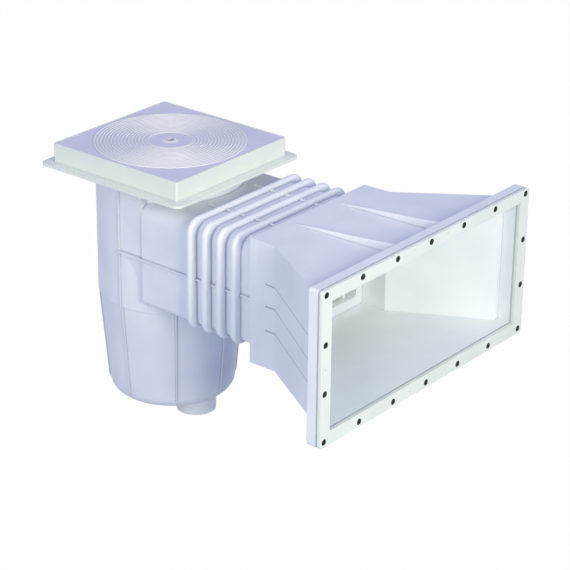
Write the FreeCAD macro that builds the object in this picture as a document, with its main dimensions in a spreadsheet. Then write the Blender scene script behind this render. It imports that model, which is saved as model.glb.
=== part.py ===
import FreeCAD, Part
import math
import os
from types import SimpleNamespace

import Sketcher

# In-ground pool skimmer with a wide mouth, in millimetres.
# Frame: origin at the centre of the mouth in the plane of the pool wall, -Y into the pool,
# +Y into the ground, +Z up. The tank stands on a vertical axis behind the mouth.

SIZES = [
    # Face of the mouth
    ("face_width", 491, "clamp frame and flange, outside"),
    ("face_height", 235, "clamp frame and flange, outside"),
    ("face_corner", 4, "corner radius of frame, gaskets and flange"),
    ("mouth_width", 448, "opening"),
    ("mouth_top", 98.5, "top of the opening above the centre"),
    ("mouth_bottom", 97, "bottom of the opening below the centre"),
    ("frame_thickness", 5, "clamp frame"),
    ("gasket_thickness", 1.5, "each of the two gaskets"),
    ("gasket_inset", 1, "gasket edge behind the frame edge"),
    ("flange_plate", 6, "front plate of the moulded flange"),
    ("flange_depth", 15, "flange from its front to the back of its skirt"),
    ("skirt_wall", 4, "wall of the skirt round the flange"),
    # Screws
    ("screw_gaps_across", 6, "spaces between the screws of the top and bottom rows"),
    ("screw_gaps_down", 3, "spaces between the screws of the side rows"),
    ("screw_edge_side", 9, "screw line from the side edges"),
    ("screw_edge_top", 7.6, "screw line from the top and bottom edges"),
    ("screw_diameter", 5, "thread"),
    ("screw_length", 16, "under the flush head face"),
    ("screw_head_diameter", 9.6, "countersunk head"),
    ("screw_slot_width", 1.2, "drive slot"),
    ("screw_slot_depth", 1.1, "drive slot"),
    ("screw_hole_gap", 0.3, "round the thread in frame and gaskets"),
    ("screw_fit", 0.05, "round the thread in its insert and under the head cone"),
    ("boss_diameter", 12, "screw bosses behind the flange plate"),
    ("insert_diameter", 8, "brass insert"),
    ("insert_length", 11, "brass insert"),
    ("pip_diameter", 2.4, "shallow locating pips in the frame"),
    ("pip_depth", 0.8, "shallow locating pips in the frame"),
    # Mouth funnel
    ("funnel_top", 102, "outside, above the centre"),
    ("funnel_bottom", 100.5, "outside, below the centre"),
    ("collar_width", 266, "outside"),
    ("collar_top", 98.5, "outside, above the centre"),
    ("collar_bottom", 97.5, "outside, below the centre"),
    ("collar_front", 172, "where the flare starts"),
    ("collar_back", 219, "outside of the back wall"),
    ("collar_back_wall", 4.5, "back wall round the throat"),
    ("flare_wall", 3.4, "side wall measured across"),
    ("rim_depth", 28, "straight rim behind the face"),
    ("rim_wall", 3.5, "straight rim and its step"),
    ("flare_half", 219, "half width of the lowest band where it meets the rim"),
    ("lap_step", 2.5, "each side band stands out further than the one below it, at the rim"),
    ("lap_crease", 0.7, "the same step at the front corner of the collar"),
    ("lap_start", 203, "where the lap lines begin on the collar"),
    ("lap_high_back", 35, "upper lap line at the collar"),
    ("lap_high_front", 27, "upper lap line at the rim"),
    ("lap_middle_back", 0.5, "middle lap line at the collar"),
    ("lap_middle_front", -13, "middle lap line at the rim"),
    ("lap_low_back", -38, "lower lap line at the collar"),
    ("lap_low_front", -50, "lower lap line at the rim"),
    ("web_offset", 52, "gusset webs from the middle"),
    ("web_crest", 3, "gusset web, top width"),
    ("web_root", 10, "gusset web, width at the flange"),
    ("web_start", 203, "where a web rises out of the funnel"),
    ("web_toe", 0.8, "height of a web at its start"),
    # Tank
    ("tank_setback", 490, "tank axis behind the pool wall"),
    ("tank_radius", 114.5, "outside of the upper tank"),
    ("tank_wall", 4, "upper tank"),
    ("wing_reach", 46, "flat sides in front of the axis"),
    ("wing_draft", 10, "the flat sides lean in this far, down to the ledge"),
    ("ledge_level", -98, "lower edge of the upper tank"),
    ("bucket_top_radius", 112, "outside, under the ledge"),
    ("bucket_low_radius", 99, "outside, above the bottom corner"),
    ("bucket_bottom", -270, "underside of the floor"),
    ("bucket_corner", 20, "outside radius of the bottom corner"),
    ("bucket_wall", 5, "lower tank and floor"),
    ("bucket_fins", 8, "upright fins on the bucket"),
    ("fin_width", 2.4, "upright fins"),
    ("fin_reach", 2.2, "upright fins stand out"),
    # Throat
    ("throat_width", 234, "outside"),
    ("throat_top", 83, "outside, above the centre"),
    ("throat_bottom", 81, "outside, below the centre"),
    ("throat_wall", 4, "all round"),
    ("throat_corner", 22, "outside radius of the upper corners"),
    ("throat_low_corner", 10, "outside radius of the lower corners"),
    ("socket_gap", 0.1, "cement gap between throat and funnel"),
    ("rib_count", 4, "half-round ribs round the throat"),
    ("rib_first", 339, "rib nearest the tank, behind the pool wall"),
    ("rib_pitch", 28, "from rib to rib"),
    ("rib_width", 10.5, "along the throat"),
    ("rib_side", 14, "ribs stand out at the sides"),
    ("rib_height", 8, "ribs stand out at the top"),
    ("rib_drop", 5.5, "ribs stand out at the bottom"),
    ("rib_corner", 22, "outside corner radius of the ribs"),
    ("rib_round", 4.8, "rounding of the rib crest"),
    ("rail_level", -5, "level fin along each side"),
    ("rail_width", 2.6, "level fins and roof fins"),
    ("rail_reach", 3.4, "level fins and roof fins stand out"),
    ("rail_front", 228, "front end of the level fins and roof fins"),
    # Ports
    ("port_radius", 31.5, "63 mm pipe spigot"),
    ("port_wall", 4, "spigot"),
    ("port_length", 27, "spigot below the floor"),
    ("port_offset", 49, "spigot axis from the tank axis"),
    # Deck collar and lid
    ("lid_level", 141, "deck level above the mouth centre"),
    ("deck_width", 250, "square collar"),
    ("deck_height", 30, "square collar above its base plate"),
    ("deck_corner", 3, "upright corners of the collar"),
    ("deck_rim", 2.8, "rim round the lid"),
    ("base_width", 281, "base plate"),
    ("base_thickness", 4, "base plate"),
    ("base_corner", 12, "corner radius of the base plate"),
    ("ring_gap", 0.3, "sliding gap round the ring in the tank neck"),
    ("ring_wall", 3, "round ring under the base plate"),
    ("ring_depth", 25, "round ring under the base plate"),
    ("seat_width", 7, "ledge under the lid edge"),
    ("lid_gap", 0.4, "round the lid"),
    ("lid_thickness", 8, "edge of the lid"),
    ("lid_plate", 4.5, "lid between its ribs"),
    ("lid_field_radius", 117.5, "raised field of rings"),
    ("lid_field_height", 0.5, "raised field of rings"),
    ("finger_radius", 6.5, "finger hole"),
    ("finger_rim_radius", 13.5, "foot of the cone round the finger hole"),
    ("finger_crest_radius", 8, "top of the cone round the finger hole"),
    ("finger_rim_height", 1.2, "cone round the finger hole"),
    ("lid_skirt", 3, "edge wall and ribs under the lid"),
    ("lid_rib_ring", 62, "radius of the round rib under the lid"),
    # Leaf basket
    ("basket_fit", 0.6, "round the basket rim in the tank"),
    ("basket_rim", 3, "thickness of the rim"),
    ("basket_wall", 2.4, "wall and floor"),
    ("basket_top_radius", 105.5, "outside, under the rim"),
    ("basket_low_radius", 90, "outside, at the floor"),
    ("basket_depth", 132, "from the ledge to the underside of the floor"),
    ("basket_slots", 20, "slots round the wall in each row"),
    ("basket_rows", 4, "rows of slots"),
    ("slot_width", 8, "wall slots and floor slots"),
    ("slot_height", 22, "wall slots"),
    ("slot_pitch", 30, "from row to row"),
    ("slot_first", 15, "top of the first row under the ledge"),
    ("floor_slots", 16, "slots in the basket floor"),
    ("floor_slot_inner", 30, "inner end of the floor slots"),
    ("floor_slot_outer", 76, "outer end of the floor slots"),
    ("bail_radius", 90, "bail, middle of its rod"),
    ("bail_rod", 6, "rod diameter"),
    ("bail_drop", 9, "bail axis under the basket rim face"),
    ("running_fit", 0.08, "round the bail ends, the hinge pins and the trimmer boss"),
    ("bail_hub_radius", 5, "round hub at each end of the bail"),
    ("bail_hub_width", 7, "round hub at each end of the bail"),
    ("bail_grip", 60, "length of the flat grip"),
    ("bail_grip_width", 11, "flat grip"),
    ("bail_grip_height", 8, "flat grip"),
    # Weir flap
    ("weir_axis_behind", 229, "hinge axis behind the pool wall"),
    ("weir_axis_height", 9, "hinge axis above the throat floor"),
    ("weir_lug_place", 90, "inner face of each hinge lug from the middle"),
    ("weir_lug_width", 6, "hinge lugs"),
    ("weir_side_gap", 0.5, "flap between its lugs"),
    ("weir_pin_diameter", 6, "hinge pins"),
    ("weir_pin_depth", 16, "hinge pins in the flap"),
    ("weir_pin_head", 9, "head diameter"),
    ("weir_barrel", 13, "hinge barrel diameter"),
    ("weir_length", 120, "axis to the free edge"),
    ("weir_width", 208, "flap"),
    ("weir_plate", 3.5, "flap plate"),
    ("weir_shoulder", 15, "from the axis to where the flap widens"),
    ("weir_box_width", 186, "float chamber"),
    ("weir_box_length", 46, "float chamber"),
    ("weir_box_height", 16, "float chamber"),
    ("weir_box_wall", 2, "float chamber and its cap"),
    ("foam_gap", 0.5, "round the foam float"),
    # Flow trimmer and rear port plug
    ("trimmer_radius", 77, "turning plate"),
    ("trimmer_plate", 3.5, "turning plate"),
    ("trimmer_gap", 0.3, "over the tank floor and under the washer"),
    ("trimmer_hub", 15, "hub radius of the plate"),
    ("trimmer_boss", 7, "boss radius on the tank floor"),
    ("trimmer_tab_height", 13, "finger tab"),
    ("trimmer_tab_width", 3, "finger tab"),
    ("trimmer_tab_length", 50, "finger tab"),
    ("washer_radius", 12, "washer"),
    ("washer_thickness", 1.5, "washer"),
    ("trimmer_screw_diameter", 5, "thread"),
    ("trimmer_screw_length", 9, "under the head"),
    ("trimmer_head_radius", 5, "pan head"),
    ("trimmer_head_height", 3, "pan head"),
    ("plug_depth", 16, "thread length inside the spigot"),
    ("plug_gap", 0.1, "round the thread"),
    ("plug_head_thickness", 4, "round head"),
    ("plug_head_inset", 0.6, "head edge inside the spigot's outside"),
    ("plug_socket", 20, "square socket in the head"),
    ("plug_wall", 4, "plug cup and the bottom of its socket"),
    ("o_ring_height", 2.6, "ring pressed between plug and spigot, along the port"),
    ("o_ring_width", 2.2, "ring pressed between plug and spigot, across"),
]

doc = FreeCAD.newDocument("pool_skimmer")
sheet = doc.addObject("Spreadsheet::Sheet", "Sizes")
for row, (name, number, note) in enumerate(SIZES, start=1):
    sheet.set(f"A{row}", name)
    sheet.set(f"B{row}", str(number))
    sheet.set(f"C{row}", note)
    sheet.setAlias(f"B{row}", name)
doc.recompute()


# Sizes and sketches

class Length:
    """A size with its number and with the sheet expression that gives it."""

    def __init__(self, number, text):
        self.number = number
        self.text = text

    def joined(self, sign, other, number):
        return Length(number, f"({self.text} {sign} {other.text})")

    def __add__(self, other):
        other = length(other)
        return self.joined("+", other, self.number + other.number)

    def __sub__(self, other):
        other = length(other)
        return self.joined("-", other, self.number - other.number)

    def __mul__(self, other):
        other = length(other)
        return self.joined("*", other, self.number * other.number)

    def __truediv__(self, other):
        other = length(other)
        return self.joined("/", other, self.number / other.number)

    def __radd__(self, other):
        return length(other) + self

    def __rsub__(self, other):
        return length(other) - self

    def __rmul__(self, other):
        return length(other) * self

    def __neg__(self):
        return length(0) - self


def length(value):
    return value if isinstance(value, Length) else Length(float(value), str(value))


size = SimpleNamespace(**{name: Length(float(number), f"Sizes.{name}") for name, number, note in SIZES})


def bind(item, prop, value):
    """Ties a property to the sheet."""
    item.setExpression(prop, length(value).text)


def vector(x, y):
    return FreeCAD.Vector(length(x).number, length(y).number, 0)


def new_body(name, setback=None, level=None):
    """A body, its own origin moved back to the tank axis or up to a level where that is given."""
    body = doc.addObject("PartDesign::Body", name)
    body.Label = name
    if setback is not None:
        bind(body, "Placement.Base.y", setback)
    if level is not None:
        bind(body, "Placement.Base.z", level)
    return body


def origin_item(body, role):
    return next(item for item in body.Origin.OriginFeatures if item.Role == role)


def new_sketch(body, name, plane, place=0):
    """A sketch on a plane of the body: XY at a height, XZ at a distance along Y, YZ along X."""
    sketch = body.newObject("Sketcher::SketchObject", name)
    sketch.AttachmentSupport = [(origin_item(body, f"{plane}_Plane"), "")]
    sketch.MapMode = "FlatFace"
    if length(place).number:
        bind(sketch, "AttachmentOffset.Base.z", -length(place) if plane == "XZ" else place)
    return sketch


def hold(sketch, geometry, point, x=None, y=None):
    """Holds a point of a sketch at its place; a point at 0 lies on the axis itself."""
    for kind, axis, value in (("DistanceX", -2, x), ("DistanceY", -1, y)):
        if value is None:
            continue
        value = length(value)
        if value.number == 0:
            sketch.addConstraint(Sketcher.Constraint("PointOnObject", geometry, point, axis))
            continue
        index = sketch.addConstraint(Sketcher.Constraint(kind, -1, 1, geometry, point, value.number))
        bind(sketch, f"Constraints[{index}]", value)


def radius_of(sketch, geometry, value):
    value = length(value)
    index = sketch.addConstraint(Sketcher.Constraint("Radius", geometry, value.number))
    bind(sketch, f"Constraints[{index}]", value)


def outline(sketch, points):
    """A closed outline through the points. A point may name the centre of the arc that leads to the
    next one, as (x, y, centre x, centre y, 1 anticlockwise or -1 clockwise)."""
    edges = []
    for index, point in enumerate(points):
        after = points[(index + 1) % len(points)]
        start, end = vector(*point[:2]), vector(*after[:2])
        if len(point) == 2:
            edges.append((sketch.addGeometry(Part.LineSegment(start, end)), 1, 2))
            continue
        centre, turn = vector(*point[2:4]), point[4]
        first, last = (start, end) if turn > 0 else (end, start)
        angles = [math.atan2(item.y - centre.y, item.x - centre.x) for item in (first, last)]
        circle = Part.Circle(centre, FreeCAD.Vector(0, 0, 1), (start - centre).Length)
        arc = sketch.addGeometry(Part.ArcOfCircle(circle, *angles))
        hold(sketch, arc, 3, x=point[2])
        edges.append((arc, 1, 2) if turn > 0 else (arc, 2, 1))
    for index, (edge, begin, finish) in enumerate(edges):
        following, its_begin, its_finish = edges[(index + 1) % len(edges)]
        sketch.addConstraint(Sketcher.Constraint("Coincident", edge, finish, following, its_begin))
        hold(sketch, edge, begin, points[index][0], points[index][1])


def rectangle(sketch, left, right, bottom, top):
    outline(sketch, [(left, bottom), (right, bottom), (right, top), (left, top)])


def rounded_rectangle(sketch, left, right, bottom, top, radius):
    """Four lines and four tangent arcs."""
    x0, x1, y0, y1 = (length(value).number for value in (left, right, bottom, top))
    r = length(radius).number
    corners = [(x1 - r, y0 + r, -90), (x1 - r, y1 - r, 0), (x0 + r, y1 - r, 90), (x0 + r, y0 + r, 180)]
    arcs = []
    for x, y, turn in corners:
        circle = Part.Circle(FreeCAD.Vector(x, y, 0), FreeCAD.Vector(0, 0, 1), r)
        arc = Part.ArcOfCircle(circle, math.radians(turn), math.radians(turn + 90))
        arcs.append(sketch.addGeometry(arc))
    lines = []
    for index, arc in enumerate(arcs):
        following = arcs[(index + 1) % 4]
        start = sketch.Geometry[arc].EndPoint
        end = sketch.Geometry[following].StartPoint
        line = sketch.addGeometry(Part.LineSegment(start, end))
        lines.append(line)
        sketch.addConstraint(Sketcher.Constraint("Tangent", arc, 2, line, 1))
        sketch.addConstraint(Sketcher.Constraint("Tangent", line, 2, following, 1))
    for line, kind in zip(lines, ("Vertical", "Horizontal", "Vertical", "Horizontal")):
        sketch.addConstraint(Sketcher.Constraint(kind, line))
    for arc in arcs[1:]:
        sketch.addConstraint(Sketcher.Constraint("Equal", arcs[0], arc))
    radius_of(sketch, arcs[0], radius)
    hold(sketch, lines[0], 1, x=right)
    hold(sketch, lines[1], 1, y=top)
    hold(sketch, lines[2], 1, x=left)
    hold(sketch, lines[3], 1, y=bottom)


def circle(sketch, x, y, radius):
    ring = Part.Circle(vector(x, y), FreeCAD.Vector(0, 0, 1), length(radius).number)
    geometry = sketch.addGeometry(ring)
    hold(sketch, geometry, 3, x, y)
    radius_of(sketch, geometry, radius)


# Features

def extrude(body, kind, sketch, distance, backwards=False):
    feature = body.newObject(kind, f"{sketch.Name}_{kind.split('::')[1].lower()}")
    feature.Profile = sketch
    feature.Reversed = backwards
    bind(feature, "Length", distance)
    return feature


def pad(body, sketch, distance, backwards=False):
    return extrude(body, "PartDesign::Pad", sketch, distance, backwards)


def pocket(body, sketch, distance, backwards=False):
    return extrude(body, "PartDesign::Pocket", sketch, distance, backwards)


def turned(body, kind, sketch, axis="Z_Axis"):
    """A revolution or groove about an axis of the body, the upright one unless another is named."""
    feature = body.newObject(kind, f"{sketch.Name}_turned")
    feature.Profile = sketch
    feature.ReferenceAxis = (origin_item(body, axis), [""])
    feature.Angle = 360
    return feature


def ring_pattern(body, feature, count):
    pattern = body.newObject("PartDesign::PolarPattern", f"{feature.Name}_pattern")
    pattern.Originals = [feature]
    pattern.Axis = (origin_item(body, "Z_Axis"), [""])
    pattern.Angle = 360
    bind(pattern, "Occurrences", count)
    body.Tip = pattern
    return pattern


def loft(body, kind, first, last):
    feature = body.newObject(kind, f"{first.Name}_loft")
    feature.Profile = first
    feature.Sections = [last]
    feature.Ruled = True
    return feature


def check_cut(body, before, name):
    """A cut that points away from the solid removes nothing, so the volume is compared."""
    doc.recompute()
    if body.Shape.Volume >= before - 1:
        raise RuntimeError(f"{name} cut nothing")


# Values that several pieces share

half_face = size.face_width / 2
half_height = size.face_height / 2
half_mouth = size.mouth_width / 2
half_throat = size.throat_width / 2
half_collar = size.collar_width / 2
front_gasket_front = size.frame_thickness
rear_gasket_front = front_gasket_front + size.gasket_thickness
flange_front = rear_gasket_front + size.gasket_thickness
flange_back = flange_front + size.flange_depth
collar_inside = size.collar_back - size.collar_back_wall
deck_base = size.lid_level - size.deck_height
tank_top = deck_base - size.base_thickness
tank_inside = size.tank_radius - size.tank_wall
bucket_inside = size.bucket_top_radius - size.bucket_wall
bucket_inside_low = size.bucket_low_radius - size.bucket_wall
bucket_floor = size.bucket_bottom + size.bucket_wall
port_bottom = size.bucket_bottom - size.port_length
port_bore = size.port_radius - size.port_wall
throat_floor = size.throat_wall - size.throat_bottom
collar_roof = size.collar_top - size.rim_wall
collar_floor = size.rim_wall - size.collar_bottom
weir_axis = throat_floor + size.weir_axis_height
basket_rim_radius = tank_inside - size.basket_fit
boss_top = bucket_floor + 2 * size.trimmer_gap + size.trimmer_plate


def from_tank(place):
    """A distance behind the pool wall, counted from the tank axis."""
    return length(place) - size.tank_setback


def screw_places():
    """The screws run round the frame: full rows at the top and bottom, and the side rows between."""
    across, down = int(size.screw_gaps_across.number), int(size.screw_gaps_down.number)
    reach_x = half_face - size.screw_edge_side
    reach_z = half_height - size.screw_edge_top
    places = []
    for row in range(down + 1):
        z = reach_z * (2 * row - down) / down
        for column in range(across + 1):
            if row in (0, down) or column in (0, across):
                places.append((reach_x * (2 * column - across) / across, z))
    return places


def screw_circles(sketch, radius):
    for x, z in screw_places():
        circle(sketch, x, z, radius)


def face_ring(sketch, inset=0):
    """Outside and opening of the frame, the gaskets and the flange, drawn as one sketch."""
    corner = size.face_corner - inset if inset else size.face_corner
    rounded_rectangle(sketch, inset - half_face, half_face - inset, inset - half_height,
                      half_height - inset, corner)
    rectangle(sketch, -half_mouth, half_mouth, -size.mouth_bottom, size.mouth_top)


# Skimmer body: tank, bucket and ribbed throat in one moulding

def tank_outside(body):
    sketch = new_sketch(body, "tank_profile", "XZ")
    corner_x = size.bucket_low_radius - size.bucket_corner
    corner_z = size.bucket_bottom + size.bucket_corner
    outline(sketch, [
        (0, size.bucket_bottom),
        (corner_x, size.bucket_bottom, corner_x, corner_z, 1),
        (size.bucket_low_radius, corner_z),
        (size.bucket_top_radius, size.ledge_level),
        (size.tank_radius, size.ledge_level),
        (size.tank_radius, tank_top),
        (0, tank_top),
    ])
    turned(body, "PartDesign::Revolution", sketch)
    low = new_sketch(body, "tank_wings_low", "XY", size.ledge_level)
    low_half = size.tank_radius - size.wing_draft
    rectangle(low, -low_half, low_half, -size.wing_reach, 0)
    high = new_sketch(body, "tank_wings_high", "XY", size.rail_level)
    rectangle(high, -size.tank_radius, size.tank_radius, -size.wing_reach, 0)
    loft(body, "PartDesign::AdditiveLoft", low, high)
    upright = new_sketch(body, "tank_wings_upright", "XY", size.rail_level)
    rectangle(upright, -size.tank_radius, size.tank_radius, -size.wing_reach, 0)
    pad(body, upright, tank_top - size.rail_level)


def throat_shape(sketch, right, bottom, top, low, high):
    """The throat's outline: low and high are the radii of its lower and upper corners."""
    outline(sketch, [
        (low - right, bottom),
        (right - low, bottom, right - low, bottom + low, 1),
        (right, bottom + low),
        (right, top - high, right - high, top - high, 1),
        (right - high, top),
        (high - right, top, high - right, top - high, 1),
        (-right, top - high),
        (-right, bottom + low, low - right, bottom + low, 1),
    ])


def throat_outside(body):
    sketch = new_sketch(body, "throat_box", "XZ", -size.wing_reach)
    throat_shape(sketch, half_throat, -size.throat_bottom, size.throat_top,
                 size.throat_low_corner, size.throat_corner)
    pad(body, sketch, -size.wing_reach - from_tank(collar_inside))


def throat_ribs(body):
    """Each rib is a rounded slab whose two crest edges are rounded almost to the middle."""
    for index in range(int(size.rib_count.number)):
        back = from_tank(size.rib_first - index * size.rib_pitch) + size.rib_width / 2
        sketch = new_sketch(body, f"rib_{index + 1}", "XZ", back)
        throat_shape(sketch, half_throat + size.rib_side, -size.throat_bottom - size.rib_drop,
                     size.throat_top + size.rib_height, size.rib_corner,
                     size.rib_corner)
        slab = pad(body, sketch, size.rib_width)
        doc.recompute()
        reach = half_throat.number + size.rib_side.number
        sides = [back.number, back.number - size.rib_width.number]
        crests = []
        for number, edge in enumerate(slab.Shape.Edges, start=1):
            middle = edge.valueAt((edge.FirstParameter + edge.LastParameter) / 2)
            straight_side = abs(abs(middle.x) - reach) < 0.01
            if straight_side and min(abs(middle.y - side) for side in sides) < 0.01:
                crests.append(f"Edge{number}")
        rounding = body.newObject("PartDesign::Fillet", f"rib_{index + 1}_rounding")
        rounding.Base = (slab, crests)
        bind(rounding, "Radius", size.rib_round)


def tank_fins(body):
    """Upright fins on the bucket, one on each flat side above, level side fins and roof fins."""
    fin = new_sketch(body, "bucket_fin", "XZ", -size.fin_width / 2)
    low = size.bucket_bottom + size.bucket_corner
    buried = size.bucket_wall / 2
    outline(fin, [
        (size.bucket_low_radius - buried, low - size.bucket_corner / 2),
        (size.bucket_low_radius + size.fin_reach, low),
        (size.bucket_top_radius + size.fin_reach, size.ledge_level),
        (size.bucket_top_radius - buried, size.ledge_level),
    ])
    ring_pattern(body, pad(body, fin, size.fin_width, backwards=True), size.bucket_fins)
    side = new_sketch(body, "side_fins", "XY", size.ledge_level)
    rectangle(side, -size.tank_radius - size.fin_reach, size.tank_radius + size.fin_reach, 0, size.fin_width)
    pad(body, side, tank_top - size.ledge_level)
    rails = new_sketch(body, "side_rails", "XY", size.rail_level - size.rail_width / 2)
    reach = half_throat + size.rail_reach
    rectangle(rails, -reach, reach, from_tank(size.rail_front), size.fin_width)
    pad(body, rails, size.rail_width)
    roof = new_sketch(body, "roof_rails", "XY", size.throat_top - size.throat_wall / 2)
    back = from_tank(size.rib_first) + size.rib_pitch
    for side_sign in (-1, 1):
        near = side_sign * size.web_offset - size.rail_width / 2
        rectangle(roof, near, near + size.rail_width, from_tank(size.rail_front), back)
    pad(body, roof, size.rail_reach + size.throat_wall / 2)


def ports(body):
    sketch = new_sketch(body, "port_spigots", "XY", port_bottom)
    for side in (-1, 1):
        circle(sketch, 0, side * size.port_offset, size.port_radius)
    pad(body, sketch, size.port_length + size.bucket_wall / 2)


def tank_inside_cut(body):
    before = body.Shape.Volume
    sketch = new_sketch(body, "tank_hollow", "XZ")
    corner_x = bucket_inside_low - size.bucket_corner + size.bucket_wall
    corner_z = size.bucket_bottom + size.bucket_corner
    outline(sketch, [
        (0, bucket_floor),
        (corner_x, bucket_floor, corner_x, corner_z, 1),
        (bucket_inside_low, corner_z),
        (bucket_inside, size.ledge_level),
        (tank_inside, size.ledge_level),
        (tank_inside, tank_top + size.tank_wall),
        (0, tank_top + size.tank_wall),
    ])
    turned(body, "PartDesign::Groove", sketch)
    check_cut(body, before, "the tank hollow")
    before = body.Shape.Volume
    throat = new_sketch(body, "throat_hollow", "XZ", from_tank(collar_inside) - size.throat_wall)
    throat_shape(throat, half_throat - size.throat_wall, throat_floor, size.throat_top - size.throat_wall,
                 size.throat_low_corner - size.throat_wall, size.throat_corner - size.throat_wall)
    reach = size.tank_setback - collar_inside + size.throat_wall - size.wing_reach - size.throat_corner / 2
    pocket(body, throat, reach)
    check_cut(body, before, "the throat hollow")
    before = body.Shape.Volume
    bores = new_sketch(body, "port_bores", "XY", port_bottom)
    for side in (-1, 1):
        circle(bores, 0, side * size.port_offset, port_bore)
    pocket(body, bores, size.port_length + 2 * size.bucket_wall, backwards=True)
    check_cut(body, before, "the port bores")


def weir_lugs(body):
    """Two lugs on the throat floor carry the hinge pins of the weir flap."""
    lug_half = size.weir_barrel / 2
    sketch = new_sketch(body, "weir_lug_outline", "XY", throat_floor - size.throat_wall / 2)
    middle = from_tank(size.weir_axis_behind)
    for side in (-1, 1):
        near = side * size.weir_lug_place
        far = side * (size.weir_lug_place + size.weir_lug_width)
        left, right = (near, far) if side > 0 else (far, near)
        rectangle(sketch, left, right, middle - lug_half, middle + lug_half)
    pad(body, sketch, size.weir_axis_height + size.throat_wall / 2 + lug_half)
    doc.recompute()
    before = body.Shape.Volume
    holes = new_sketch(body, "weir_pin_holes", "YZ", -size.weir_lug_place - size.weir_lug_width)
    circle(holes, middle, weir_axis, size.weir_pin_diameter / 2 + size.screw_fit)
    pocket(body, holes, 2 * (size.weir_lug_place + size.weir_lug_width), backwards=True)
    check_cut(body, before, "the hinge pin holes")


def trimmer_boss(body):
    sketch = new_sketch(body, "floor_boss", "XY", bucket_floor - size.bucket_wall / 2)
    circle(sketch, 0, 0, size.trimmer_boss)
    pad(body, sketch, boss_top - bucket_floor + size.bucket_wall / 2)
    doc.recompute()
    before = body.Shape.Volume
    hole = new_sketch(body, "boss_hole", "XY", boss_top)
    circle(hole, 0, 0, size.trimmer_screw_diameter / 2 + size.screw_fit)
    pocket(body, hole, size.trimmer_screw_length - size.washer_thickness)
    check_cut(body, before, "the boss hole")


def make_skimmer_body():
    body = new_body("skimmer_body", setback=size.tank_setback)
    tank_outside(body)
    throat_outside(body)
    throat_ribs(body)
    tank_fins(body)
    ports(body)
    doc.recompute()
    tank_inside_cut(body)
    weir_lugs(body)
    trimmer_boss(body)
    return body


# Mouth funnel: collar, flare with lap steps, webs and hollow flange

def flare_section(body, name, place, half_width, bottom, top):
    sketch = new_sketch(body, name, "XZ", place)
    rectangle(sketch, -half_width, half_width, bottom, top)
    return sketch


def make_mouth_funnel():
    body = new_body("mouth_funnel")
    collar = new_sketch(body, "collar_box", "XZ", size.collar_back)
    rectangle(collar, -half_collar, half_collar, -size.collar_bottom, size.collar_top)
    pad(body, collar, size.collar_back - size.collar_front)
    bands = [
        ("whole", -size.collar_bottom, -size.funnel_bottom),
        ("low", size.lap_low_back, size.lap_low_front),
        ("middle", size.lap_middle_back, size.lap_middle_front),
        ("high", size.lap_high_back, size.lap_high_front),
    ]
    for step, (name, at_collar, at_rim) in enumerate(bands):
        crease = half_collar + step * size.lap_crease
        back = flare_section(body, f"flare_{name}_back", size.collar_front, crease, at_collar,
                             size.collar_top)
        front = flare_section(body, f"flare_{name}_front", size.rim_depth,
                              size.flare_half + step * size.lap_step, at_rim, size.funnel_top)
        loft(body, "PartDesign::AdditiveLoft", back, front)
        if step:
            start = flare_section(body, f"lap_{name}_start", size.lap_start, half_collar, at_collar,
                                  size.collar_top)
            corner = flare_section(body, f"lap_{name}_corner", size.collar_front, crease, at_collar,
                                   size.collar_top)
            loft(body, "PartDesign::AdditiveLoft", start, corner)
    rim = new_sketch(body, "rim_box", "XZ", size.rim_depth + size.rim_wall)
    rectangle(rim, -half_mouth - size.rim_wall, half_mouth + size.rim_wall, -size.funnel_bottom,
              size.funnel_top)
    pad(body, rim, size.rim_depth + size.rim_wall - flange_front)
    plate = new_sketch(body, "flange_outline", "XZ", flange_front + size.flange_plate)
    rounded_rectangle(plate, -half_face, half_face, -half_height, half_height, size.face_corner)
    pad(body, plate, size.flange_plate)
    skirt = new_sketch(body, "flange_skirt", "XZ", flange_back)
    rounded_rectangle(skirt, -half_face, half_face, -half_height, half_height, size.face_corner)
    rectangle(skirt, size.skirt_wall - half_face, half_face - size.skirt_wall,
              size.skirt_wall - half_height, half_height - size.skirt_wall)
    pad(body, skirt, size.flange_depth)
    bosses = new_sketch(body, "screw_bosses", "XZ", flange_back)
    screw_circles(bosses, size.boss_diameter / 2)
    pad(body, bosses, size.flange_depth)
    for side, name in ((-1, "left"), (1, "right")):
        make_web(body, side, name)
    doc.recompute()
    hollow_funnel(body)
    return body


def make_web(body, side, name):
    """A gusset web: low and narrow where it starts, as high as the flange where it ends."""
    middle = side * size.web_offset
    root = size.collar_top - size.rim_wall / 2
    sections = []
    for label, place, height, foot in (
            ("front", flange_front + size.flange_plate / 2, half_height, size.web_root),
            ("back", size.web_start, size.collar_top + size.web_toe, size.web_crest + size.web_toe)):
        sketch = new_sketch(body, f"web_{name}_{label}", "XZ", place)
        outline(sketch, [
            (middle - foot / 2, root), (middle + foot / 2, root),
            (middle + size.web_crest / 2, height), (middle - size.web_crest / 2, height),
        ])
        sections.append(sketch)
    loft(body, "PartDesign::AdditiveLoft", sections[1], sections[0])


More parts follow.
